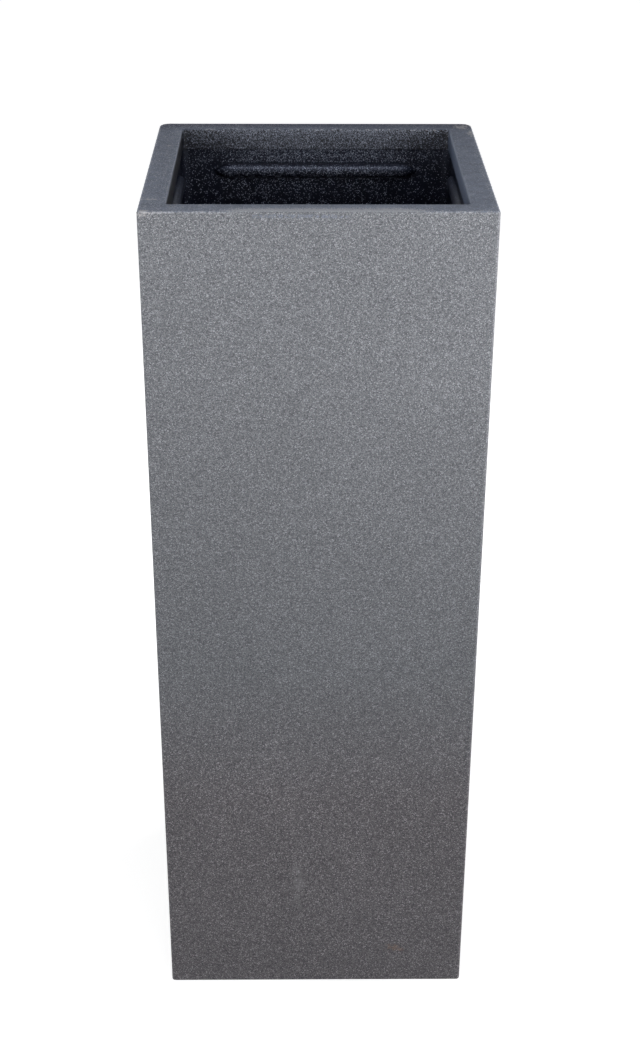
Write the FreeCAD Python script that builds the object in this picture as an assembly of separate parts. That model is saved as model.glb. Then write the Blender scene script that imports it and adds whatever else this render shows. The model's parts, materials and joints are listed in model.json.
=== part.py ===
import FreeCAD, Part
import math
import os

# Tall square planter in glass-fibre laminate, with a double wall, a folded rim and a drain.
# Frame: the origin is on the ground under the middle of the planter, +Z is up, and the front
# wall faces -Y. All sizes are in millimetres.

# Outer form
HEIGHT = 800.0  # ground to rim
TOP_SIDE = 300.0  # width and depth over the rim
FOOT_SIDE = 290.0  # width and depth at the ground: the walls draw in for the mould
FRONT_CORNER_R = 3.0  # upright corners of the front wall
BACK_CORNER_R = 10.0  # upright corners of the back wall, plainly rounder

# Outer casing
CASING_SKIN = 4.0  # laminate of the outer walls
RIM_SKIN = 4.0  # laminate of the flat rim
RIM_WIDTH = 22.5  # outer face to the mouth
LIP_SKIN = 3.0  # laminate of the return lip
LIP_DEPTH = 20.0  # rim to the lower edge of the lip
MOUTH_CORNER_R = 4.0  # corners of the mouth, seen from above
LAYUP_MIN_R = 5.0  # tightest inside corner that wet laminate fills
RIM_ARRIS_R = 2.0  # outer edge of the rim
MOUTH_ARRIS_R = 1.5  # edge between rim and lip
LIP_ARRIS_R = 1.0  # lower edge of the lip
FOOT_ARRIS_R = 1.5  # outer edge at the ground

# Inner casing
LINER_SKIN = 3.0  # laminate of the well's walls
FLOOR_SKIN = 4.0  # laminate of the well's floor
FLOOR_FILLET_R = 6.0  # where the well's walls meet its floor

# Base
BASE_SKIN = 4.0  # laminate of the base panel
BASE_CORE = 20.0  # core board between base panel and well floor

# Half-round beads that stiffen the inner walls
BEAD_R = 7.0
BEAD_BELOW_LIP = 14.0  # lower edge of the lip to the top of the bead
BEAD_CORNER_GAP = 33.0  # end of a bead to the well's next wall
BEAD_END = 14.0  # length of each tapered end
BEAD_TIP_R = 1.0  # what is left of the bead at its very end

# Drain
DRAIN_BORE_R = 12.0
BUSH_WALL = 3.0
BUSH_TAIL = 1.5  # bush below its nut
FLANGE_REACH = 10.0  # bush wall to the edge of its flange
FLANGE_THICK = 3.0
GASKET_THICK = 2.0
GASKET_INSET = 1.0  # edge of the flange to the edge of the gasket
NUT_WALL = 6.0  # bush to the flats of the nut
NUT_THICK = 6.5
GROUND_GAP = 4.0  # ground to the lower end of the bush, so that water runs away
HOLE_CLEARANCE = 0.3  # radial, bush in the drilled sandwich
THREAD_CLEARANCE = 0.05  # radial, nut on bush
BORE_EASE = 1.0  # chamfer round the bush's upper mouth

# Plug
PLUG_CLEARANCE = 0.05  # radial, at the plug's widest
PLUG_TAPER = 1.0  # radius lost over the plug's length
PLUG_LENGTH = 24.0
PLUG_FLANGE_REACH = 5.0  # bore to the edge of the plug's flange
PLUG_FLANGE_THICK = 3.0
TAB_WIDTH = 20.0  # pull tab, across
TAB_HEIGHT = 14.0
TAB_THICK = 5.0
TAB_CORNER_R = 5.0

# Derived sizes
WALL = RIM_WIDTH - LIP_SKIN  # outer face to well face
CORE_INNER = WALL - LINER_SKIN  # outer face to the inner side of the core boards
WELL_CORNER_R = MOUTH_CORNER_R + 2 * LIP_SKIN  # the lip thins a little in its corners
LINER_CORNER_R = WELL_CORNER_R + LINER_SKIN
RIM_UNDERSIDE = HEIGHT - RIM_SKIN
LIP_EDGE = HEIGHT - LIP_DEPTH
BUSH_R = DRAIN_BORE_R + BUSH_WALL
FLANGE_R = BUSH_R + FLANGE_REACH
BASE_UNDERSIDE = GROUND_GAP + BUSH_TAIL + NUT_THICK
BASE_TOP = BASE_UNDERSIDE + BASE_SKIN
FLOOR_UNDERSIDE = BASE_TOP + BASE_CORE
FLOOR = FLOOR_UNDERSIDE + FLOOR_SKIN
FLANGE_UNDERSIDE = FLOOR + GASKET_THICK
FLANGE_TOP = FLANGE_UNDERSIDE + FLANGE_THICK
BEAD_Z = LIP_EDGE - BEAD_BELOW_LIP - BEAD_R
DRAW = (TOP_SIDE - FOOT_SIDE) / 2 / HEIGHT  # sideways step of a wall for each step up

# Each side of the planter, as the angle that turns the back side to it
SIDES = {"back": 0, "left": 90, "front": 180, "right": 270}
UP = FreeCAD.Vector(0, 0, 1)
OVERCUT = 1.0  # how far a cutting solid runs past what it cuts


def half_side(z, inset):
    """Half width at height z of the drawn-in surface that lies inset inside the outer face."""
    return FOOT_SIDE / 2 + DRAW * z - inset


def inside_radius(outer_radius):
    """Radius inside an upright corner of the outer casing."""
    return max(outer_radius - CASING_SKIN, LAYUP_MIN_R)


def level_ring(half_x, near_y, far_y, z):
    """Corners of a level rectangle, anticlockwise from above."""
    corners = [(-half_x, near_y), (half_x, near_y), (half_x, far_y), (-half_x, far_y)]
    return [FreeCAD.Vector(x, y, z) for x, y in corners]


def between_rings(low, high):
    """Solid with flat faces between two level rectangles."""
    rings = [low[::-1], high]
    for i in range(4):
        j = (i + 1) % 4
        rings.append([low[i], low[j], high[j], high[i]])
    faces = [Part.Face(Part.makePolygon(ring + ring[:1])) for ring in rings]
    return Part.Solid(Part.Shell(faces))


def upright_edges(solid, back):
    """The two slanting corner edges of the back or of the front."""
    found = []
    for edge in solid.Edges:
        rise = abs(edge.Vertexes[0].Z - edge.Vertexes[1].Z)
        if rise > 0.9 * edge.Length and (edge.CenterOfMass.y > 0) == back:
            found.append(edge)
    return found


def frustum(low_z, high_z, inset, front_r, back_r):
    """Square solid with the outer casing's draw, inset all round, with rounded upright corners."""
    low = half_side(low_z, inset)
    high = half_side(high_z, inset)
    solid = between_rings(level_ring(low, -low, low, low_z), level_ring(high, -high, high, high_z))
    solid = solid.makeFillet(front_r, upright_edges(solid, False))
    return solid.makeFillet(back_r, upright_edges(solid, True))


def level_face(solid, z):
    """The largest flat face at height z."""
    faces = [f for f in solid.Faces if abs(f.BoundBox.ZMin - z) + abs(f.BoundBox.ZMax - z) < 1e-4]
    return max(faces, key=lambda face: face.OuterWire.BoundBox.DiagonalLength)


def outer_edges(solid, z):
    """Edges round the outside of the flat face at height z."""
    return level_face(solid, z).OuterWire.Edges


def inner_edges(solid, z):
    """Edges round the opening in the flat face at height z."""
    face = level_face(solid, z)
    return [e for wire in face.Wires if not wire.isSame(face.OuterWire) for e in wire.Edges]


def cylinder(radius, low_z, high_z):
    return Part.makeCylinder(radius, high_z - low_z, FreeCAD.Vector(0, 0, low_z))


def tube(outer_radius, inner_radius, low_z, high_z):
    bore = cylinder(inner_radius, low_z - OVERCUT, high_z + OVERCUT)
    return cylinder(outer_radius, low_z, high_z).cut(bore)


def drilled(solid):
    """The solid with the drain's hole through it."""
    box = solid.BoundBox
    return solid.cut(cylinder(BUSH_R + HOLE_CLEARANCE, box.ZMin - OVERCUT, box.ZMax + OVERCUT))


def cavity(low_z, high_z):
    """All the space inside the outer walls."""
    return frustum(low_z, high_z, CASING_SKIN, inside_radius(FRONT_CORNER_R), inside_radius(BACK_CORNER_R))


def well(low_z, high_z):
    """Space inside the inner walls. The back of the lip and the liner meet on its surface."""
    return frustum(low_z, high_z, WALL, WELL_CORNER_R, WELL_CORNER_R)


def liner_outside(low_z, high_z):
    return frustum(low_z, high_z, CORE_INNER, LINER_CORNER_R, LINER_CORNER_R)


def outer_casing():
    """Walls, rim and return lip, laid up as one skin."""
    block = frustum(0, HEIGHT, 0, FRONT_CORNER_R, BACK_CORNER_R)
    sleeve = cavity(-OVERCUT, RIM_UNDERSIDE).cut(well(LIP_EDGE, RIM_UNDERSIDE + OVERCUT))
    mouth = frustum(LIP_EDGE - OVERCUT, HEIGHT + OVERCUT, RIM_WIDTH, MOUTH_CORNER_R, MOUTH_CORNER_R)
    casing = block.cut(sleeve).cut(mouth)
    arris_limit = 0.8 * FRONT_CORNER_R
    casing = casing.makeFillet(min(RIM_ARRIS_R, arris_limit), outer_edges(casing, HEIGHT))
    casing = casing.makeFillet(MOUTH_ARRIS_R, inner_edges(casing, HEIGHT))
    casing = casing.makeFillet(min(FOOT_ARRIS_R, arris_limit), outer_edges(casing, 0))
    return casing.makeFillet(LIP_ARRIS_R, inner_edges(casing, LIP_EDGE))


def inner_casing():
    """Liner of the well, from its floor up behind the lip to the underside of the rim."""
    hollow = well(FLOOR, RIM_UNDERSIDE + OVERCUT)
    floor_fillet = min(FLOOR_FILLET_R, 0.8 * WELL_CORNER_R)
    hollow = hollow.makeFillet(floor_fillet, outer_edges(hollow, FLOOR))
    return drilled(liner_outside(FLOOR_UNDERSIDE, RIM_UNDERSIDE).cut(hollow))


def base_panel():
    return drilled(cavity(BASE_UNDERSIDE, BASE_TOP))


def core_board_base():
    return drilled(liner_outside(BASE_TOP, FLOOR_UNDERSIDE))


def core_board(angle):
    """Board between the skins of one side, as wide as the flat part of the liner."""
    rings = []
    for z in (BASE_TOP, RIM_UNDERSIDE):
        near = half_side(z, CORE_INNER)
        rings.append(level_ring(near - LINER_CORNER_R, near, half_side(z, CASING_SKIN), z))
    board = between_rings(*rings)
    board.rotate(FreeCAD.Vector(), UP, angle)
    return board


def stiffener_bead(angle):
    """Half-round bead, bonded to one inner wall, with ends that taper down to small tips."""
    wall_y = half_side(BEAD_Z, WALL)
    half_length = wall_y - BEAD_CORNER_GAP
    crown_end = half_length - BEAD_END
    fall = BEAD_R - BEAD_TIP_R
    end_arc_r = (BEAD_END**2 + fall**2) / (2 * fall)
    mid_turn = math.atan2(fall, BEAD_END)
    mid_x = crown_end + end_arc_r * math.sin(mid_turn)
    mid_z = BEAD_R - end_arc_r * (1 - math.cos(mid_turn))

    def point(x, z):
        return FreeCAD.Vector(x, 0, z)

    outline = [
        Part.LineSegment(point(-half_length, 0), point(half_length, 0)),
        Part.LineSegment(point(half_length, 0), point(half_length, BEAD_TIP_R)),
        Part.Arc(point(half_length, BEAD_TIP_R), point(mid_x, mid_z), point(crown_end, BEAD_R)),
        Part.LineSegment(point(crown_end, BEAD_R), point(-crown_end, BEAD_R)),
        Part.Arc(point(-crown_end, BEAD_R), point(-mid_x, mid_z), point(-half_length, BEAD_TIP_R)),
        Part.LineSegment(point(-half_length, BEAD_TIP_R), point(-half_length, 0)),
    ]
    section = Part.Face(Part.Wire([curve.toShape() for curve in outline]))
    bead = section.revolve(FreeCAD.Vector(), FreeCAD.Vector(1, 0, 0), 180)
    bead.rotate(FreeCAD.Vector(), FreeCAD.Vector(1, 0, 0), -math.degrees(math.atan(DRAW)))
    bead.translate(FreeCAD.Vector(0, wall_y, BEAD_Z))
    bead.rotate(FreeCAD.Vector(), UP, angle)
    return bead


def drain_bush():
    """Flanged tube through the sandwich floor, threaded outside for its nut."""
    stem = tube(BUSH_R, DRAIN_BORE_R, GROUND_GAP, FLANGE_TOP)
    flange = tube(FLANGE_R, DRAIN_BORE_R, FLANGE_UNDERSIDE, FLANGE_TOP)
    bush = stem.fuse(flange).removeSplitter()
    return bush.makeChamfer(BORE_EASE, inner_edges(bush, FLANGE_TOP))


def drain_gasket():
    return tube(FLANGE_R - GASKET_INSET, BUSH_R + HOLE_CLEARANCE, FLOOR, FLANGE_UNDERSIDE)


def drain_nut():
    """Hexagon nut that clamps the sandwich from below."""
    corner_r = (BUSH_R + NUT_WALL) / math.cos(math.pi / 6)
    low_z = BASE_UNDERSIDE - NUT_THICK
    corners = []
    for i in range(7):
        turn = i * math.pi / 3
        corners.append(FreeCAD.Vector(corner_r * math.cos(turn), corner_r * math.sin(turn), low_z))
    hexagon = Part.Face(Part.makePolygon(corners)).extrude(UP * NUT_THICK)
    return hexagon.cut(cylinder(BUSH_R + THREAD_CLEARANCE, low_z - OVERCUT, BASE_UNDERSIDE + OVERCUT))


def drain_plug():
    """Rubber bung: tapered stem, flange that rests on the bush, and a pull tab."""
    top_r = DRAIN_BORE_R - PLUG_CLEARANCE
    stem_end = FreeCAD.Vector(0, 0, FLANGE_TOP - PLUG_LENGTH)
    stem = Part.makeCone(top_r - PLUG_TAPER, top_r, PLUG_LENGTH, stem_end)
    flange_top = FLANGE_TOP + PLUG_FLANGE_THICK
    flange = cylinder(DRAIN_BORE_R + PLUG_FLANGE_REACH, FLANGE_TOP, flange_top)
    tab_corner = FreeCAD.Vector(-TAB_WIDTH / 2, -TAB_THICK / 2, flange_top)
    tab = Part.makeBox(TAB_WIDTH, TAB_THICK, TAB_HEIGHT, tab_corner)
    tab_ends = [e for e in outer_edges(tab, tab.BoundBox.ZMax) if abs(e.CenterOfMass.x) > TAB_WIDTH / 4]
    tab = tab.makeFillet(TAB_CORNER_R, tab_ends)
    return stem.fuse([flange, tab]).removeSplitter()


def planter():
    """Every piece by its name."""
    pieces = {
        "outer_casing": outer_casing(),
        "inner_casing": inner_casing(),
        "base_panel": base_panel(),
        "core_board_base": core_board_base(),
        "drain_bush": drain_bush(),
        "drain_gasket": drain_gasket(),
        "drain_nut": drain_nut(),
        "drain_plug": drain_plug(),
    }
    for side, angle in SIDES.items():
        pieces["core_board_" + side] = core_board(angle)
        pieces["stiffener_bead_" + side] = stiffener_bead(angle)
    return pieces


os.makedirs("parts", exist_ok=True)
for name, piece in planter().items():
    piece.exportStep("parts/" + name + ".step")
    print(name, len(piece.Solids), "solid, valid:", piece.isValid(), round(piece.Volume), "mm3")
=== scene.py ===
import json
import math

import bpy
from mathutils import Matrix, Vector


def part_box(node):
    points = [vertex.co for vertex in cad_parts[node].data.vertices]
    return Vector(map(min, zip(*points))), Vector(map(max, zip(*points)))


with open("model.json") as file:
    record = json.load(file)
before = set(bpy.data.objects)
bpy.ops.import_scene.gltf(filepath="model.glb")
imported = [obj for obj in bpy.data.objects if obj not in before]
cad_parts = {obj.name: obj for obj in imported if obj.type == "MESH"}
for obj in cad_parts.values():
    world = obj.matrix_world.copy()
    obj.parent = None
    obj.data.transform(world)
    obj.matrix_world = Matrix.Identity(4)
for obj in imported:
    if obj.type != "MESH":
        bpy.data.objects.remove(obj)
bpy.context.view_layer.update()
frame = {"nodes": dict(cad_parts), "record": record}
MM = 0.001

# The planter's own places, in metres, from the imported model
RIM_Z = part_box("outer_casing")[1].z
RIM_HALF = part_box("outer_casing")[1].x
RIM_WIDTH = 22.5 * MM
MOUTH_HALF = RIM_HALF - RIM_WIDTH
SEAM_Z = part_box("stiffener_bead_back")[1].z
FAR = 1.0  # metres: past the planter, as the open end of a band


# Materials: tools

# A colour mix takes its two colours at sockets 6 and 7 and gives its result at output 2.
# A mix of plain numbers takes them at 2 and 3 and gives its result at output 0.
COLOUR_MIX = {"data_type": "RGBA"}
COLOUR_MULTIPLY = {"data_type": "RGBA", "blend_type": "MULTIPLY"}


def srgb(code):
    """Linear colour with alpha for a written sRGB hex colour."""
    channels = [int(code[i : i + 2], 16) / 255 for i in (1, 3, 5)]
    linear = [c / 12.92 if c <= 0.04045 else ((c + 0.055) / 1.055) ** 2.4 for c in channels]
    return (*linear, 1.0)


def add(tree, kind, fields=None, inputs=None):
    """Adds a node to a material or world, sets its fields and sets or links its inputs."""
    node = tree.nodes.new("ShaderNode" + kind)
    for name, value in (fields or {}).items():
        if name == "stops":
            ramp = node.color_ramp.elements
            while len(ramp) < len(value):
                ramp.new(1.0)
            for stop, (place, colour) in zip(ramp, value):
                stop.position = place
                stop.color = srgb(colour)
        else:
            setattr(node, name, value)
    for socket, value in (inputs or {}).items():
        if isinstance(value, bpy.types.NodeSocket):
            tree.links.new(value, node.inputs[socket])
        else:
            node.inputs[socket].default_value = value
    return node.outputs


def new_material(name):
    """An empty material, its node tree and the place on the piece, in metres."""
    material = bpy.data.materials.new(name)
    material.use_nodes = True
    tree = material.node_tree
    tree.nodes.clear()
    return material, tree, add(tree, "TexCoord")["Object"]


def finish_material(tree, shader_inputs):
    """Gives a material its shader, with the finish's own values and textures."""
    surface = add(tree, "BsdfPrincipled", None, shader_inputs)[0]
    add(tree, "OutputMaterial", None, {"Surface": surface})


def per_mm(size):
    """Texture scale that makes one cell or wave this many millimetres wide."""
    return 1 / (size * MM)


def fold(tree, operation, masks):
    """Several masks made into one: MULTIPLY keeps what all of them share, MAXIMUM the strongest."""
    result = masks[0]
    for mask in masks[1:]:
        result = add(tree, "Math", {"operation": operation}, {0: result, 1: mask})[0]
    return result


def band(tree, value, low, high, soft):
    """1 where a value lies between two limits, falling to 0 over the soft width outside them."""
    above = add(tree, "MapRange", None, {"Value": value, "From Min": low - soft, "From Max": low})
    below = add(tree, "MapRange", None, {"Value": value, "From Min": high + soft, "From Max": high})
    return fold(tree, "MULTIPLY", [above["Result"], below["Result"]])


FRAY = 3.0  # how strongly noise eats into a smudge, in reaches
SMUDGE_CORE = 1.7  # frayed distance at which a smudge starts to fade
SMUDGE_END = 2.2  # and at which it has gone


def smudge(tree, place, centre, reach, fray_size):
    """1 round a point, fading to 0 at about its reach along x, y and z, with frayed edges."""
    offset = add(tree, "VectorMath", {"operation": "SUBTRACT"}, {0: place, 1: centre})["Vector"]
    shrunk = add(tree, "VectorMath", {"operation": "DIVIDE"}, {0: offset, 1: reach})["Vector"]
    span = add(tree, "VectorMath", {"operation": "LENGTH"}, {0: shrunk})["Value"]
    noise = add(tree, "TexNoise", None, {"Vector": place, "Scale": per_mm(fray_size), "Detail": 3.0})["Fac"]
    frayed = add(tree, "Math", {"operation": "MULTIPLY_ADD"}, {0: noise, 1: FRAY, 2: span})[0]
    return add(
        tree, "MapRange", None, {"Value": frayed, "From Min": SMUDGE_END, "From Max": SMUDGE_CORE}
    )["Result"]


# The sprayed granite. Sizes are in millimetres unless they say otherwise.

FLECK = 0.7  # mineral flecks, about twice as coarse as real ones so that they show
SAND = 0.5  # sand between the flecks
SAND_SHARE = 0.25  # how much the sand sways a fleck's tone
ORANGE_PEEL = 3.0  # waves that the spray gun leaves
FLECK_RISE = 0.3  # how far flecks stand up, against the height of those waves
CLOUD = 120.0  # slow drift of tone along a wall
DRIFT = 0.05  # how far that drift goes either way
FOOT_MIX_FROM = 0.36  # metres up: below it the warmer, more contrasted mix of the foot comes in
FOOT_MIX_BELOW = 0.22  # metres up: below it there is only that mix
FLECK_EDGE = 0.05  # softness of the draw that decides whether a fleck is there
GRANITE_BUMP = {"Strength": 0.4, "Distance": 0.1 * MM}
POLYESTER_IOR = 1.54
GRANITE_ROUGHNESS = 0.75

# Fleck tones from dark to light: the draw at which each is reached, and its colour
WALL_MIX = [(0.1, "#43454A"), (0.35, "#5D5F64"), (0.6, "#6E7075"), (0.8, "#828489"), (0.93, "#ADAFB3")]
FOOT_MIX = [(0.1, "#363539"), (0.4, "#575559"), (0.65, "#6C696D"), (0.82, "#8A878B"), (0.93, "#CBC6CA")]

MIST_DEPTH = 33.0  # how far down inside the mist reaches before it thins to a third: painted shade, darker with depth
MIST_SHARE = 0.6  # share of the lip that the mist covers at the rim
DUST_SHARE = 0.03  # share of the bare rim and the deep inside where single flecks stuck
COOL_LIGHT_TINT = "#E8EEFF"  # painted cool light: a blue tint over the lip in front and behind and over the whole inside
CORNER_SHADE_FROM = 0.06  # metres from the middle of a wall, where painted shade starts to thin the mist towards the corner
CORNER_SHADE_AT = 0.12  # metres from the middle of a wall, where that painted shade is deepest


def granite_over(tree, place, resin, cover):
    """Colour and relief of resin with a share of it covered by flecks, and where the flecks lie."""
    cells = add(tree, "TexVoronoi", {"feature": "F1"}, {"Vector": place, "Scale": per_mm(FLECK)})
    draws = add(tree, "SeparateColor", None, {"Color": cells["Color"]})
    sand = add(tree, "TexNoise", None, {"Vector": place, "Scale": per_mm(SAND), "Detail": 1.0})["Fac"]
    summed = add(
        tree, "Math", {"operation": "MULTIPLY_ADD"}, {0: sand, 1: SAND_SHARE, 2: draws["Red"]}
    )[0]
    tone = add(tree, "MapRange", None, {"Value": summed, "From Max": 1 + SAND_SHARE})["Result"]
    wall_flecks = add(tree, "ValToRGB", {"stops": WALL_MIX}, {"Fac": tone})["Color"]
    foot_flecks = add(tree, "ValToRGB", {"stops": FOOT_MIX}, {"Fac": tone})["Color"]
    height = add(tree, "SeparateXYZ", None, {"Vector": place})["Z"]
    low = add(
        tree, "MapRange", None, {"Value": height, "From Min": FOOT_MIX_FROM, "From Max": FOOT_MIX_BELOW}
    )["Result"]
    flecks = add(tree, "Mix", COLOUR_MIX, {"Factor": low, 6: wall_flecks, 7: foot_flecks})[2]
    clouds = add(tree, "TexNoise", None, {"Vector": place, "Scale": per_mm(CLOUD), "Detail": 3.0})["Fac"]
    drift = add(
        tree,
        "MapRange",
        None,
        {"Value": clouds, "From Min": 0.3, "From Max": 0.7, "To Min": 1 - DRIFT, "To Max": 1 + DRIFT},
    )["Result"]
    granite = add(tree, "Mix", COLOUR_MULTIPLY, {"Factor": 1.0, 6: flecks, 7: drift})[2]
    margin = add(tree, "Math", {"operation": "SUBTRACT"}, {0: cover, 1: draws["Green"]})[0]
    covered = add(
        tree, "MapRange", None, {"Value": margin, "From Min": -FLECK_EDGE, "From Max": 0.0}
    )["Result"]
    colour = add(tree, "Mix", COLOUR_MIX, {"Factor": covered, 6: resin, 7: granite})[2]
    waves = add(
        tree, "TexNoise", None, {"Vector": place, "Scale": per_mm(ORANGE_PEEL), "Detail": 2.0}
    )["Fac"]
    flecks_up = fold(tree, "MULTIPLY", [covered, draws["Red"]])
    relief = add(tree, "Math", {"operation": "MULTIPLY_ADD"}, {0: flecks_up, 1: FLECK_RISE, 2: waves})[0]
    return colour, relief, covered


def mist_and_depth_shade(tree, height):
    """Share of the inside that the sprayed mist covers: it thins with depth below the rim, as painted
    shade.
    """
    depth = add(tree, "Math", {"operation": "SUBTRACT"}, {0: height, 1: RIM_Z})[0]
    fall = add(tree, "Math", {"operation": "DIVIDE"}, {0: depth, 1: MIST_DEPTH * MM})[0]
    thinned = add(tree, "Math", {"operation": "EXPONENT"}, {0: fall})[0]
    return add(tree, "Math", {"operation": "MULTIPLY_ADD"}, {0: thinned, 1: MIST_SHARE, 2: DUST_SHARE})[0]


# The outer casing: granite walls and edges, a rim rubbed bare, a lip with mist in front and behind

RAGGED = 2.5  # millimetres: the size of the nibbles along rubbed edges, and along the pale edges that are partly wear and partly painted highlight
SPILL_LEFT = -0.062  # granite that spilled on to the front rim, in metres from the middle
SPILL_RIGHT = 0.075
SPILL_FADE = 0.022
SPILL_DEPTH = 5.0  # millimetres in from the front face that the spill covers fully
SPILL_FEATHER = 9.0  # millimetres over which it runs out
LIP_CORNER_SHADE_SHARE = 0.45  # share of its mist that the lip keeps in the corners, under painted shade
SPECK_REACH = 7.0  # millimetres in from the outer edges that single specks reach
SPECK_SHARE = 0.5  # share of the very edge that they cover
LEFT_DUST_SHARE = 0.15  # more dust stuck to the left rim than to the right one
DASHES_LEFT = -0.05  # where granite was rubbed through below the front edge, in metres from the middle
DASHES_RIGHT = 0.02
DASHES_FADE = 0.01
DASHES_TOP = 3.0  # millimetres below the rim
DASHES_FOOT = 5.0
MOTTLE = 12.0  # millimetres: brushed patches on the plain rim
RUB = 1.5  # millimetres: small marks that the rubbing pad left on the rim
RUBBED_ROUGHNESS = 0.85
LIP_ROUGHNESS = 0.35
RIM_BLUES = [(0.4, "#666C79"), (0.6, "#7A8190"), (0.8, "#9096A5")]
BACK_RIM_SHADE = "#A2A2AB"  # painted shade: the back of the rim is darkened
BACK_RIM_FROM = 0.12  # metres behind the middle, where that painted shade comes in
BACK_RIM_AT = 0.14
SIDE_LIP_SHADED_LEFT = "#090B11"  # resin of the side lips, with painted light: shaded nearly black on the left, lit grey-blue on the right
SIDE_LIP_LIT_RIGHT = "#5C677D"
LIP_END = "#0A0C14"  # resin of the lip in front and behind
LIP_FROM = 0.5  # millimetres below the rim, where the lip's own resin comes in
LIP_AT = 5.0
RIM_FLECK = "#D5D8E0"  # flecks on the bare rim were rubbed too and look paler
RIM_FLECK_SHARE = 0.4

FRONT_EDGE_WEAR_AND_HIGHLIGHT = 0.56  # ragged noise above which the front edge is pale: partly wear, partly painted highlight
# the same for the back edge of the mouth, also partly a painted highlight
MOUTH_EDGE_WEAR_AND_HIGHLIGHT = 0.62
WEAR_AND_HIGHLIGHT_FADE = 0.08

# Scuffs on the rim: centre and reach in metres, and the size of the fraying in millimetres
SCUFFS = [
    ((0.141, 0.136, RIM_Z), (0.01, 0.014, 0.01), 3.0),
    ((0.147, 0.112, RIM_Z), (0.005, 0.014, 0.01), 3.0),
    ((-0.1407, -0.1141, RIM_Z), (0.009, 0.0035, 0.01), 2.0),
    ((-0.1357, 0.0643, RIM_Z), (0.0035, 0.0035, 0.01), 2.0),
    ((-0.144, -0.148, RIM_Z), (0.009, 0.005, 0.008), 2.0),
]
# Old marks low on the front wall, in the same way
SMEAR = ((-0.017, -0.146, 0.118), (0.009, 0.05, 0.045), 6.0)
RUST = ((0.078, -0.145, 0.041), (0.012, 0.05, 0.006), 3.0)


def casing_places(tree, place):
    """Coordinates and regions of the outer casing that its layers share, by name.

    Across and along are the distances from the middle, which are x and y without their signs.
    """
    axes = add(tree, "SeparateXYZ", None, {"Vector": place})
    across = add(tree, "Math", {"operation": "ABSOLUTE"}, {0: axes["X"]})[0]
    along = add(tree, "Math", {"operation": "ABSOLUTE"}, {0: axes["Y"]})[0]
    from_axis = fold(tree, "MAXIMUM", [across, along])
    below_rim = add(
        tree,
        "MapRange",
        None,
        {"Value": axes["Z"], "From Min": RIM_Z - LIP_FROM * MM, "From Max": RIM_Z - LIP_AT * MM},
    )["Result"]
    inside = band(tree, from_axis, -FAR, MOUTH_HALF + MM, MM)
    ragged = add(tree, "TexNoise", None, {"Vector": place, "Scale": per_mm(RAGGED), "Detail": 3.0})["Fac"]
    lip_ends = [
        band(tree, along, MOUTH_HALF - 2 * MM, MOUTH_HALF + MM, MM),
        band(tree, axes["Z"], -FAR, RIM_Z - MM, MM),
        band(tree, across, -FAR, MOUTH_HALF, MM),
    ]
    return {
        "x": axes["X"],
        "y": axes["Y"],
        "z": axes["Z"],
        "across": across,
        "from_axis": from_axis,
        "ragged": ragged,
        "spilled": band(tree, axes["X"], SPILL_LEFT, SPILL_RIGHT, SPILL_FADE),
        "lip": fold(tree, "MULTIPLY", [below_rim, inside]),
        "lip_ends": fold(tree, "MULTIPLY", lip_ends),
    }


def casing_cover(tree, at):
    """Share of each spot on the casing that granite covers.

    It covers the walls, runs out on the front rim, mists the lip in front and behind, specks the
    outer edges and dusts the bare rim. The lip's mist thins downwards and into the corners as
    painted shade. Just below the front edge it was rubbed through in dashes.
    """
    walls = [
        band(tree, at["z"], -FAR, RIM_Z - 1.2 * MM, 0.8 * MM),
        band(tree, at["from_axis"], MOUTH_HALF + 2 * MM, FAR, MM),
    ]
    spill = [
        at["spilled"],
        band(tree, at["y"], -FAR, -RIM_HALF + SPILL_DEPTH * MM, SPILL_FEATHER * MM),
    ]
    # Painted shade: the lip's mist thins towards the corners.
    corner_shade = add(
        tree,
        "MapRange",
        None,
        {
            "Value": at["across"],
            "From Min": CORNER_SHADE_FROM,
            "From Max": CORNER_SHADE_AT,
            "To Min": 1.0,
            "To Max": LIP_CORNER_SHADE_SHARE,
        },
    )["Result"]
    lip_mist = [at["lip_ends"], mist_and_depth_shade(tree, at["z"]), corner_shade]
    solid = fold(tree, "MAXIMUM", [fold(tree, "MULTIPLY", layer) for layer in (walls, spill, lip_mist)])
    outer_edge = band(tree, at["from_axis"], RIM_HALF - MM, FAR, SPECK_REACH * MM)
    specks = fold(tree, "MULTIPLY", [outer_edge, at["ragged"]])
    specked = add(tree, "Math", {"operation": "MULTIPLY_ADD"}, {0: specks, 1: SPECK_SHARE, 2: solid})[0]
    leftward = add(
        tree, "MapRange", None, {"Value": at["x"], "From Min": 0.0, "From Max": -RIM_HALF}
    )["Result"]
    dust = add(
        tree, "MapRange", None, {"Value": leftward, "To Min": DUST_SHARE, "To Max": LEFT_DUST_SHARE}
    )["Result"]
    on_top = band(tree, at["z"], RIM_Z - 1.5 * MM, FAR, MM)
    dusted = fold(tree, "MAXIMUM", [specked, fold(tree, "MULTIPLY", [dust, on_top])])
    dashes = [
        band(tree, at["x"], DASHES_LEFT, DASHES_RIGHT, DASHES_FADE),
        band(tree, at["y"], -FAR, -RIM_HALF + 2 * MM, MM),
        band(tree, at["z"], RIM_Z - DASHES_FOOT * MM, RIM_Z - DASHES_TOP * MM, MM),
        band(tree, at["ragged"], 0.5, 1.0, 0.05),
    ]
    return add(tree, "Math", {"operation": "SUBTRACT"}, {0: dusted, 1: fold(tree, "MULTIPLY", dashes)})[0]


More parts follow.
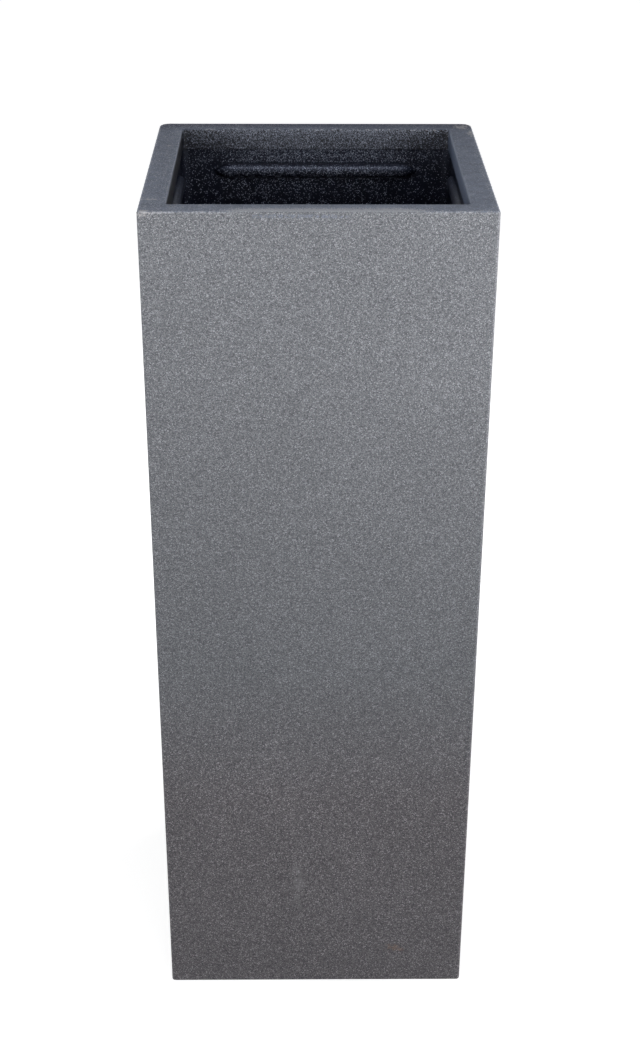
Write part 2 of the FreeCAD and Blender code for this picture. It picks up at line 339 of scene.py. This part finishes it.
def rubbed_resin(tree, place, at):
    """Colour of the bare resin: mottled blue-grey on the rim with painted shade at its back, and darker
    down the lip, where painted light makes the right side lip grey-blue.
    """
    mottle = add(tree, "TexNoise", None, {"Vector": place, "Scale": per_mm(MOTTLE), "Detail": 5.0})["Fac"]
    rub = add(tree, "TexNoise", None, {"Vector": place, "Scale": per_mm(RUB), "Detail": 2.0})["Fac"]
    rubbed = add(tree, "Mix", None, {"Factor": 0.5, 2: mottle, 3: rub})[0]
    rim = add(tree, "ValToRGB", {"stops": RIM_BLUES}, {"Fac": rubbed})["Color"]
    # Painted shade towards the back of the rim.
    back = add(
        tree, "MapRange", None, {"Value": at["y"], "From Min": BACK_RIM_FROM, "From Max": BACK_RIM_AT}
    )["Result"]
    rim = add(tree, "Mix", COLOUR_MULTIPLY, {"Factor": back, 6: rim, 7: srgb(BACK_RIM_SHADE)})[2]
    # Painted light: the side lips go from shaded near black on the left to lit grey-blue on the right.
    rightward = add(
        tree, "MapRange", None, {"Value": at["x"], "From Min": -MOUTH_HALF, "From Max": MOUTH_HALF}
    )["Result"]
    side_lips_lit_and_shaded = add(
        tree, "Mix", COLOUR_MIX, {"Factor": rightward, 6: srgb(SIDE_LIP_SHADED_LEFT), 7: srgb(SIDE_LIP_LIT_RIGHT)}
    )[2]
    resin = add(tree, "Mix", COLOUR_MIX, {"Factor": at["lip"], 6: rim, 7: side_lips_lit_and_shaded})[2]
    return add(tree, "Mix", COLOUR_MIX, {"Factor": at["lip_ends"], 6: resin, 7: srgb(LIP_END)})[2]


def wear_and_highlights(tree, place, at, colour):
    """A colour with the casing's wear over it: pale edges that are partly wear and partly painted
    highlight, scuffed corners and two old marks.
    """
    clean = add(tree, "MapRange", None, {"Value": at["spilled"], "To Min": 1.0, "To Max": 0.0})["Result"]
    front_edge = [
        clean,
        band(tree, at["y"], -FAR, -RIM_HALF + 0.9 * MM, 0.4 * MM),
        band(tree, at["z"], RIM_Z - 1.3 * MM, FAR, 0.4 * MM),
        band(tree, at["ragged"], FRONT_EDGE_WEAR_AND_HIGHLIGHT, 1.0, WEAR_AND_HIGHLIGHT_FADE),
    ]
    mouth_edge = [
        band(tree, at["y"], MOUTH_HALF - 0.6 * MM, MOUTH_HALF + 0.8 * MM, 0.4 * MM),
        band(tree, at["across"], -FAR, MOUTH_HALF - 8 * MM, MM),
        band(tree, at["z"], RIM_Z - 1.2 * MM, FAR, 0.4 * MM),
        band(tree, at["ragged"], MOUTH_EDGE_WEAR_AND_HIGHLIGHT, 1.0, WEAR_AND_HIGHLIGHT_FADE),
    ]
    edges = fold(tree, "MAXIMUM", [fold(tree, "MULTIPLY", edge) for edge in (front_edge, mouth_edge)])
    scuffs = fold(tree, "MAXIMUM", [smudge(tree, place, *scuff) for scuff in SCUFFS])
    layers = [
        # where, how strong, colour
        # pale edges: partly wear, partly painted highlight
        (edges, 0.5, "#B4B5BB"),
        (scuffs, 0.6, "#C0BDBD"),
        (smudge(tree, place, *SMEAR), 0.25, "#A9A8AB"),
        (smudge(tree, place, *RUST), 0.35, "#8E6A50"),
    ]
    for where, strength, tone in layers:
        shown = fold(tree, "MULTIPLY", [where, strength])
        colour = add(tree, "Mix", COLOUR_MIX, {"Factor": shown, 6: colour, 7: srgb(tone)})[2]
    return colour


def granite_gel_coat():
    """Granite-effect gel coat: polyester resin sprayed with light and dark mineral flecks.

    It scatters light evenly, with a low satin sheen and a grain that the eye reads as stone. On the
    rim the blue-grey resin below was rubbed bare and the corners are scuffed paler; the edges are pale
    partly from wear and partly from a painted highlight.
    """
    material, tree, place = new_material("granite_gel_coat")
    at = casing_places(tree, place)
    resin = rubbed_resin(tree, place, at)
    colour, relief, covered = granite_over(tree, place, resin, casing_cover(tree, at))
    on_flat = band(tree, at["z"], RIM_Z - 0.2 * MM, FAR, 0.2 * MM)
    rim_flecks = fold(tree, "MULTIPLY", [covered, on_flat, RIM_FLECK_SHARE])
    colour = add(tree, "Mix", COLOUR_MIX, {"Factor": rim_flecks, 6: colour, 7: srgb(RIM_FLECK)})[2]
    # Painted cool light: a blue tint over the lip in front and behind.
    colour = add(tree, "Mix", COLOUR_MULTIPLY, {"Factor": at["lip_ends"], 6: colour, 7: srgb(COOL_LIGHT_TINT)})[2]
    bare = add(
        tree, "MapRange", None, {"Value": at["lip"], "To Min": RUBBED_ROUGHNESS, "To Max": LIP_ROUGHNESS}
    )["Result"]
    finish_material(
        tree,
        {
            "Base Color": wear_and_highlights(tree, place, at, colour),
            "Roughness": add(tree, "Mix", None, {"Factor": covered, 2: bare, 3: GRANITE_ROUGHNESS})[0],
            "IOR": POLYESTER_IOR,
            "Normal": add(tree, "Bump", None, {"Height": relief, **GRANITE_BUMP})[0],
        },
    )
    return material


# The inside: black gel coat that the granite spray only drifted into, with painted shade deeper down

TOP_SHADE_SHARE = 0.6  # share of the mist left on what faces up, such as the tops of the beads: painted shade that darkens them against the light from above
SIDE_AND_CREASE_SHADE_SHARE = 0.25  # share that is left on the side walls and along the top of each bead, as painted shade
INNER_CORNER_SHADE_SHARE = 0.3  # share that is left in the corners, as painted shade
CREASE_SHADE_FOOT = -0.3  # millimetres over the top of a bead, where the painted shade of its crease with the wall starts
CREASE_SHADE_TOP = 0.9
CREASE_SHADE_FADE = 0.4
DEEP_SHADE_AND_LIGHT_FROM = 30.0  # millimetres below the rim, where painted shade starts to leave the flecks standing alone, and painted light starts to pale them
DEEP_SHADE_AT = 60.0  # millimetres below the rim, where that painted shade leaves the fewest flecks
DEEP_SHADE_SHARE = 0.5  # share of them that is left there
PAINTED_LIGHT_AT = 55.0  # millimetres below the rim, where painted light makes the single flecks palest
PAINTED_LIGHT_SHARE = 0.4  # how far that painted light turns them to the pale colour
PAINTED_LIGHT_FLECK = "#BCC4DC"
BLACKS = [(0.35, "#04050C"), (0.65, "#070914")]
BLACK_PATCH = 20.0  # millimetres: faint patches in the black resin
BLACK_ROUGHNESS = 0.4
BLACK_SHEEN = "#CED6EE"  # tint of the black resin's shine, cooler than the granite's


def inside_cover(tree, axes):
    """Share of each spot of the inside that flecks cover: most at the mouth and on the back wall; fewer
    deeper down, on the side walls, in the corners, along the bead tops and on what faces up, as painted
    shade.
    """
    facing = add(tree, "SeparateXYZ", None, {"Vector": add(tree, "NewGeometry")["Normal"]})
    sideways = add(tree, "Math", {"operation": "ABSOLUTE"}, {0: facing["X"]})[0]
    crease_shade = band(tree, axes["Z"], SEAM_Z + CREASE_SHADE_FOOT * MM, SEAM_Z + CREASE_SHADE_TOP * MM, CREASE_SHADE_FADE * MM)
    across = add(tree, "Math", {"operation": "ABSOLUTE"}, {0: axes["X"]})[0]
    along = add(tree, "Math", {"operation": "ABSOLUTE"}, {0: axes["Y"]})[0]
    cornerward = fold(tree, "MINIMUM", [across, along])
    thinnings = [
        # value, where the mist starts to thin, where it is thinnest, share that is left there
        # painted shade on what faces up
        (facing["Z"], 0.0, 1.0, TOP_SHADE_SHARE),
        # painted shade on the side walls
        (sideways, 0.0, 1.0, SIDE_AND_CREASE_SHADE_SHARE),
        # painted shade in the crease along the top of each bead
        (crease_shade, 0.0, 1.0, SIDE_AND_CREASE_SHADE_SHARE),
        # painted shade in the corners
        (cornerward, CORNER_SHADE_FROM, CORNER_SHADE_AT, INNER_CORNER_SHADE_SHARE),
        # painted shade: fewer flecks deeper down
        (axes["Z"], RIM_Z - DEEP_SHADE_AND_LIGHT_FROM * MM, RIM_Z - DEEP_SHADE_AT * MM, DEEP_SHADE_SHARE),
    ]
    shares = [mist_and_depth_shade(tree, axes["Z"])]
    for value, start, end, share in thinnings:
        limits = {"From Min": start, "From Max": end, "To Min": 1.0, "To Max": share}
        shares.append(add(tree, "MapRange", None, {"Value": value, **limits})["Result"])
    return fold(tree, "MULTIPLY", shares)


def misted_black_gel_coat():
    """Black gel coat with granite mist: the inside, where the spray only drifted in from the mouth.

    Near the mouth it looks like the outside. Further down, painted shade thins the flecks to single
    specks on black and painted light makes them paler, and the resin between them keeps a soft, cool
    shine. Painted cool light tints the whole inside blue.
    """
    material, tree, place = new_material("misted_black_gel_coat")
    axes = add(tree, "SeparateXYZ", None, {"Vector": place})
    shades = add(
        tree, "TexNoise", None, {"Vector": place, "Scale": per_mm(BLACK_PATCH), "Detail": 3.0}
    )["Fac"]
    resin = add(tree, "ValToRGB", {"stops": BLACKS}, {"Fac": shades})["Color"]
    colour, relief, covered = granite_over(tree, place, resin, inside_cover(tree, axes))
    # Painted cool light: a blue tint over the whole inside.
    colour = add(tree, "Mix", COLOUR_MULTIPLY, {"Factor": 1.0, 6: colour, 7: srgb(COOL_LIGHT_TINT)})[2]
    # Painted light: deep in the well the flecks turn paler, standing in for light that reaches them.
    painted_paling = add(
        tree,
        "MapRange",
        None,
        {
            "Value": axes["Z"],
            "From Min": RIM_Z - DEEP_SHADE_AND_LIGHT_FROM * MM,
            "From Max": RIM_Z - PAINTED_LIGHT_AT * MM,
            "To Max": PAINTED_LIGHT_SHARE,
        },
    )["Result"]
    painted_light_flecks = fold(tree, "MULTIPLY", [covered, painted_paling])
    colour = add(tree, "Mix", COLOUR_MIX, {"Factor": painted_light_flecks, 6: colour, 7: srgb(PAINTED_LIGHT_FLECK)})[2]
    roughness = add(
        tree, "MapRange", None, {"Value": covered, "To Min": BLACK_ROUGHNESS, "To Max": GRANITE_ROUGHNESS}
    )["Result"]
    finish_material(
        tree,
        {
            "Base Color": colour,
            "Roughness": roughness,
            "IOR": POLYESTER_IOR,
            "Specular Tint": srgb(BLACK_SHEEN),
            "Normal": add(tree, "Bump", None, {"Height": relief, **GRANITE_BUMP})[0],
        },
    )
    return material


# The pieces that hardly show

def cut_foam_board():
    """Rigid foam, cut with a hot wire: pale yellow, closed cells, quite matt."""
    material, tree, place = new_material("cut_foam_board")
    cells = add(tree, "TexVoronoi", {"feature": "F1"}, {"Vector": place, "Scale": per_mm(1.5)})["Distance"]
    tone = add(tree, "ValToRGB", {"stops": [(0.0, "#D8C894"), (0.6, "#E6D8A8")]}, {"Fac": cells})["Color"]
    bump = add(tree, "Bump", None, {"Height": cells, "Strength": 0.4, "Distance": 0.3 * MM})[0]
    finish_material(tree, {"Base Color": tone, "Roughness": 0.9, "IOR": 1.4, "Normal": bump})
    return material


def bare_laminate():
    """Hand-laid polyester over chopped glass mat: amber grey, with fibre bundles under a wet gloss."""
    material, tree, place = new_material("bare_laminate")
    lays = []
    for stretch in ((1.0, 0.12, 1.0), (0.12, 1.0, 1.0)):
        lay = add(tree, "VectorMath", {"operation": "MULTIPLY"}, {0: place, 1: stretch})["Vector"]
        bundles = add(tree, "TexNoise", None, {"Vector": lay, "Scale": per_mm(1.6), "Detail": 3.0})
        lays.append(bundles["Fac"])
    fibres = fold(tree, "MAXIMUM", lays)
    ambers = [(0.4, "#5B5A50"), (0.6, "#79786A"), (0.75, "#A3A18D")]
    tone = add(tree, "ValToRGB", {"stops": ambers}, {"Fac": fibres})["Color"]
    bump = add(tree, "Bump", None, {"Height": fibres, "Strength": 0.5, "Distance": 0.3 * MM})[0]
    finish_material(tree, {"Base Color": tone, "Roughness": 0.35, "IOR": POLYESTER_IOR, "Normal": bump})
    return material


def moulded_polypropylene():
    """Injection-moulded black polypropylene: even, fine spark-eroded grain, low sheen."""
    material, tree, place = new_material("moulded_polypropylene")
    grain = add(tree, "TexNoise", None, {"Vector": place, "Scale": per_mm(0.5), "Detail": 2.0})["Fac"]
    tone = add(tree, "ValToRGB", {"stops": [(0.3, "#1D1E20"), (0.7, "#27282A")]}, {"Fac": grain})["Color"]
    bump = add(tree, "Bump", None, {"Height": grain, "Strength": 0.3, "Distance": 0.05 * MM})[0]
    finish_material(tree, {"Base Color": tone, "Roughness": 0.45, "IOR": 1.49, "Normal": bump})
    return material


def moulded_rubber():
    """Moulded rubber: soot black, with a faint grey bloom and almost no shine."""
    material, tree, place = new_material("moulded_rubber")
    bloom = add(tree, "TexNoise", None, {"Vector": place, "Scale": per_mm(6.0), "Detail": 4.0})["Fac"]
    tone = add(tree, "ValToRGB", {"stops": [(0.35, "#1A1A1B"), (0.7, "#2B2B2C")]}, {"Fac": bloom})["Color"]
    bump = add(tree, "Bump", None, {"Height": bloom, "Strength": 0.2, "Distance": 0.1 * MM})[0]
    finish_material(tree, {"Base Color": tone, "Roughness": 0.75, "IOR": 1.52, "Normal": bump})
    return material


# One finish for each kind of piece. The outer casing is sprayed with the full granite, and the
# pieces inside it caught only its mist.
FINISHES = {
    "granite_gelcoat": misted_black_gel_coat(),
    "core_foam": cut_foam_board(),
    "bare_laminate": bare_laminate(),
    "drain_fitting": moulded_polypropylene(),
    "rubber": moulded_rubber(),
}
for row in frame["record"]["subparts"]:
    node = frame["nodes"][row["node"]]
    node.data.materials.clear()
    node.data.materials.append(FINISHES[row["material_slot"]])
frame["nodes"]["outer_casing"].data.materials[0] = granite_gel_coat()


# Camera: the photograph's view, from a fit to the planter's corners

CAMERA_PLACE = Vector((-0.017, -1.629, 1.233))
CAMERA_YAW = math.radians(0.74)  # to the right of straight ahead
CAMERA_PITCH = math.radians(25.77)  # below level
CAMERA_ROLL = math.radians(0.25)
CAMERA_LENS = 64.1  # millimetres, for a long side of 36
CAMERA_SENSOR = 36.0


def add_camera():
    """The camera, turned from straight down to its yaw, pitch and roll."""
    data = bpy.data.cameras.new("camera")
    data.sensor_width = CAMERA_SENSOR
    data.lens = CAMERA_LENS
    camera = bpy.data.objects.new("camera", data)
    turn = Matrix.Rotation(-CAMERA_YAW, 4, "Z") @ Matrix.Rotation(math.pi / 2 - CAMERA_PITCH, 4, "X")
    camera.matrix_world = Matrix.Translation(CAMERA_PLACE) @ turn @ Matrix.Rotation(CAMERA_ROLL, 4, "Z")
    bpy.context.scene.collection.objects.link(camera)
    bpy.context.scene.camera = camera


add_camera()


# Studio: soft lamps round the planter, most of them at the height of its rim, and one high in front

LAMPS = {
    # name: (turn from the front in degrees, distance, height, width, tall, aim height, spread, watts)
    "near_left": (-45, 0.8, 0.9, 0.4, 0.4, 0.75, 110, 0.9),
    "near_right": (45, 0.8, 0.9, 0.4, 0.4, 0.75, 110, 1.7),
    "front": (0, 1.4, 0.8, 0.5, 0.5, 0.6, 180, 1.3),
    "front_left": (-25, 2.2, 0.95, 0.8, 0.5, 0.6, 180, 8.0),
    "side_left": (-85, 1.8, 0.8, 0.6, 0.5, 0.6, 180, 6.0),
    "side_right": (85, 1.8, 0.5, 0.6, 0.5, 0.5, 180, 18.0),
    "rear_left": (-130, 1.8, 0.9, 0.8, 0.5, 0.6, 180, 12.0),
    "rear_right": (130, 1.8, 0.9, 0.8, 0.5, 0.6, 180, 12.0),
    "overhead": (0, 0.9, 2.3, 0.5, 0.5, 0.6, 180, 9.5),
}
AMBIENT = 0.02  # the world's light on the planter, against 1 for white
CEILING = "#5A6D90"  # what gloss mirrors from above: a dim, cool ceiling over white studio walls
CEILING_FROM = 0.2  # upward part of the direction, where the ceiling starts
CEILING_FULL = 0.6


def add_lamp(name, place, aim, width, tall, spread, watts):
    """A rectangular lamp that the camera doesn't see."""
    data = bpy.data.lights.new(name, "AREA")
    data.shape = "RECTANGLE"
    data.size = width
    data.size_y = tall
    data.spread = math.radians(spread)
    data.energy = watts
    lamp = bpy.data.objects.new(name, data)
    lamp.location = place
    lamp.rotation_euler = (aim - place).to_track_quat("-Z", "Y").to_euler()
    lamp.visible_camera = False
    bpy.context.scene.collection.objects.link(lamp)


for name, (turn, distance, height, width, tall, aim_height, spread, watts) in LAMPS.items():
    angle = math.radians(turn)
    place = Vector((distance * math.sin(angle), -distance * math.cos(angle), height))
    add_lamp(name, place, Vector((0, 0, aim_height)), width, tall, spread, watts)


def seen_directly(tree):
    """1 for what the camera, a reflection or a clear body looks at, 0 for scattered light."""
    path = add(tree, "LightPath")
    return fold(
        tree, "MAXIMUM", [path["Is Camera Ray"], path["Is Glossy Ray"], path["Is Transmission Ray"]]
    )


def light_world():
    """White walls and a dim ceiling, seen by the camera and by gloss, with little light of their own."""
    world = bpy.data.worlds.new("studio")
    world.use_nodes = True
    tree = world.node_tree
    tree.nodes.clear()
    strength = add(tree, "MapRange", None, {"Value": seen_directly(tree), "To Min": AMBIENT, "To Max": 1.0})
    upward = add(tree, "SeparateXYZ", None, {"Vector": add(tree, "TexCoord")["Generated"]})["Z"]
    above = add(
        tree, "MapRange", None, {"Value": upward, "From Min": CEILING_FROM, "From Max": CEILING_FULL}
    )["Result"]
    room = add(tree, "Mix", COLOUR_MIX, {"Factor": above, 6: srgb("#FFFFFF"), 7: srgb(CEILING)})[2]
    backdrop = add(tree, "Background", None, {"Color": room, "Strength": strength["Result"]})[0]
    add(tree, "OutputWorld", None, {"Surface": backdrop})
    bpy.context.scene.world = world


light_world()

FLOOR_HALF = 6.0
FLOOR_PAINT = "#BCBCBC"
NEAR_GLOW = 0.75  # the floor's own white close to the planter, where its shadow shows
FAR_GLOW = 1.0
GLOW_NEAR = 0.25  # metres from the planter's axis
GLOW_FAR = 0.75


def add_floor():
    """A pale floor that is white by its own glow to the camera and keeps a soft shadow."""
    mesh = bpy.data.meshes.new("studio_floor")
    corners = [(-1, -1), (1, -1), (1, 1), (-1, 1)]
    mesh.from_pydata([(x * FLOOR_HALF, y * FLOOR_HALF, 0) for x, y in corners], [], [(0, 1, 2, 3)])
    floor = bpy.data.objects.new("studio_floor", mesh)
    bpy.context.scene.collection.objects.link(floor)
    material, tree, place = new_material("pale_floor")
    away = add(tree, "VectorMath", {"operation": "LENGTH"}, {0: place})["Value"]
    glow = add(
        tree,
        "MapRange",
        None,
        {
            "Value": away,
            "From Min": GLOW_NEAR,
            "From Max": GLOW_FAR,
            "To Min": NEAR_GLOW,
            "To Max": FAR_GLOW,
        },
    )["Result"]
    paint = add(tree, "BsdfDiffuse", None, {"Color": srgb(FLOOR_PAINT)})[0]
    white = add(tree, "Emission", None, {"Strength": glow})[0]
    bright = add(tree, "AddShader", None, {0: paint, 1: white})[0]
    surface = add(tree, "MixShader", None, {"Fac": seen_directly(tree), 1: paint, 2: bright})[0]
    add(tree, "OutputMaterial", None, {"Surface": surface})
    mesh.materials.append(material)


add_floor()
bpy.context.scene.view_settings.view_transform = "Standard"
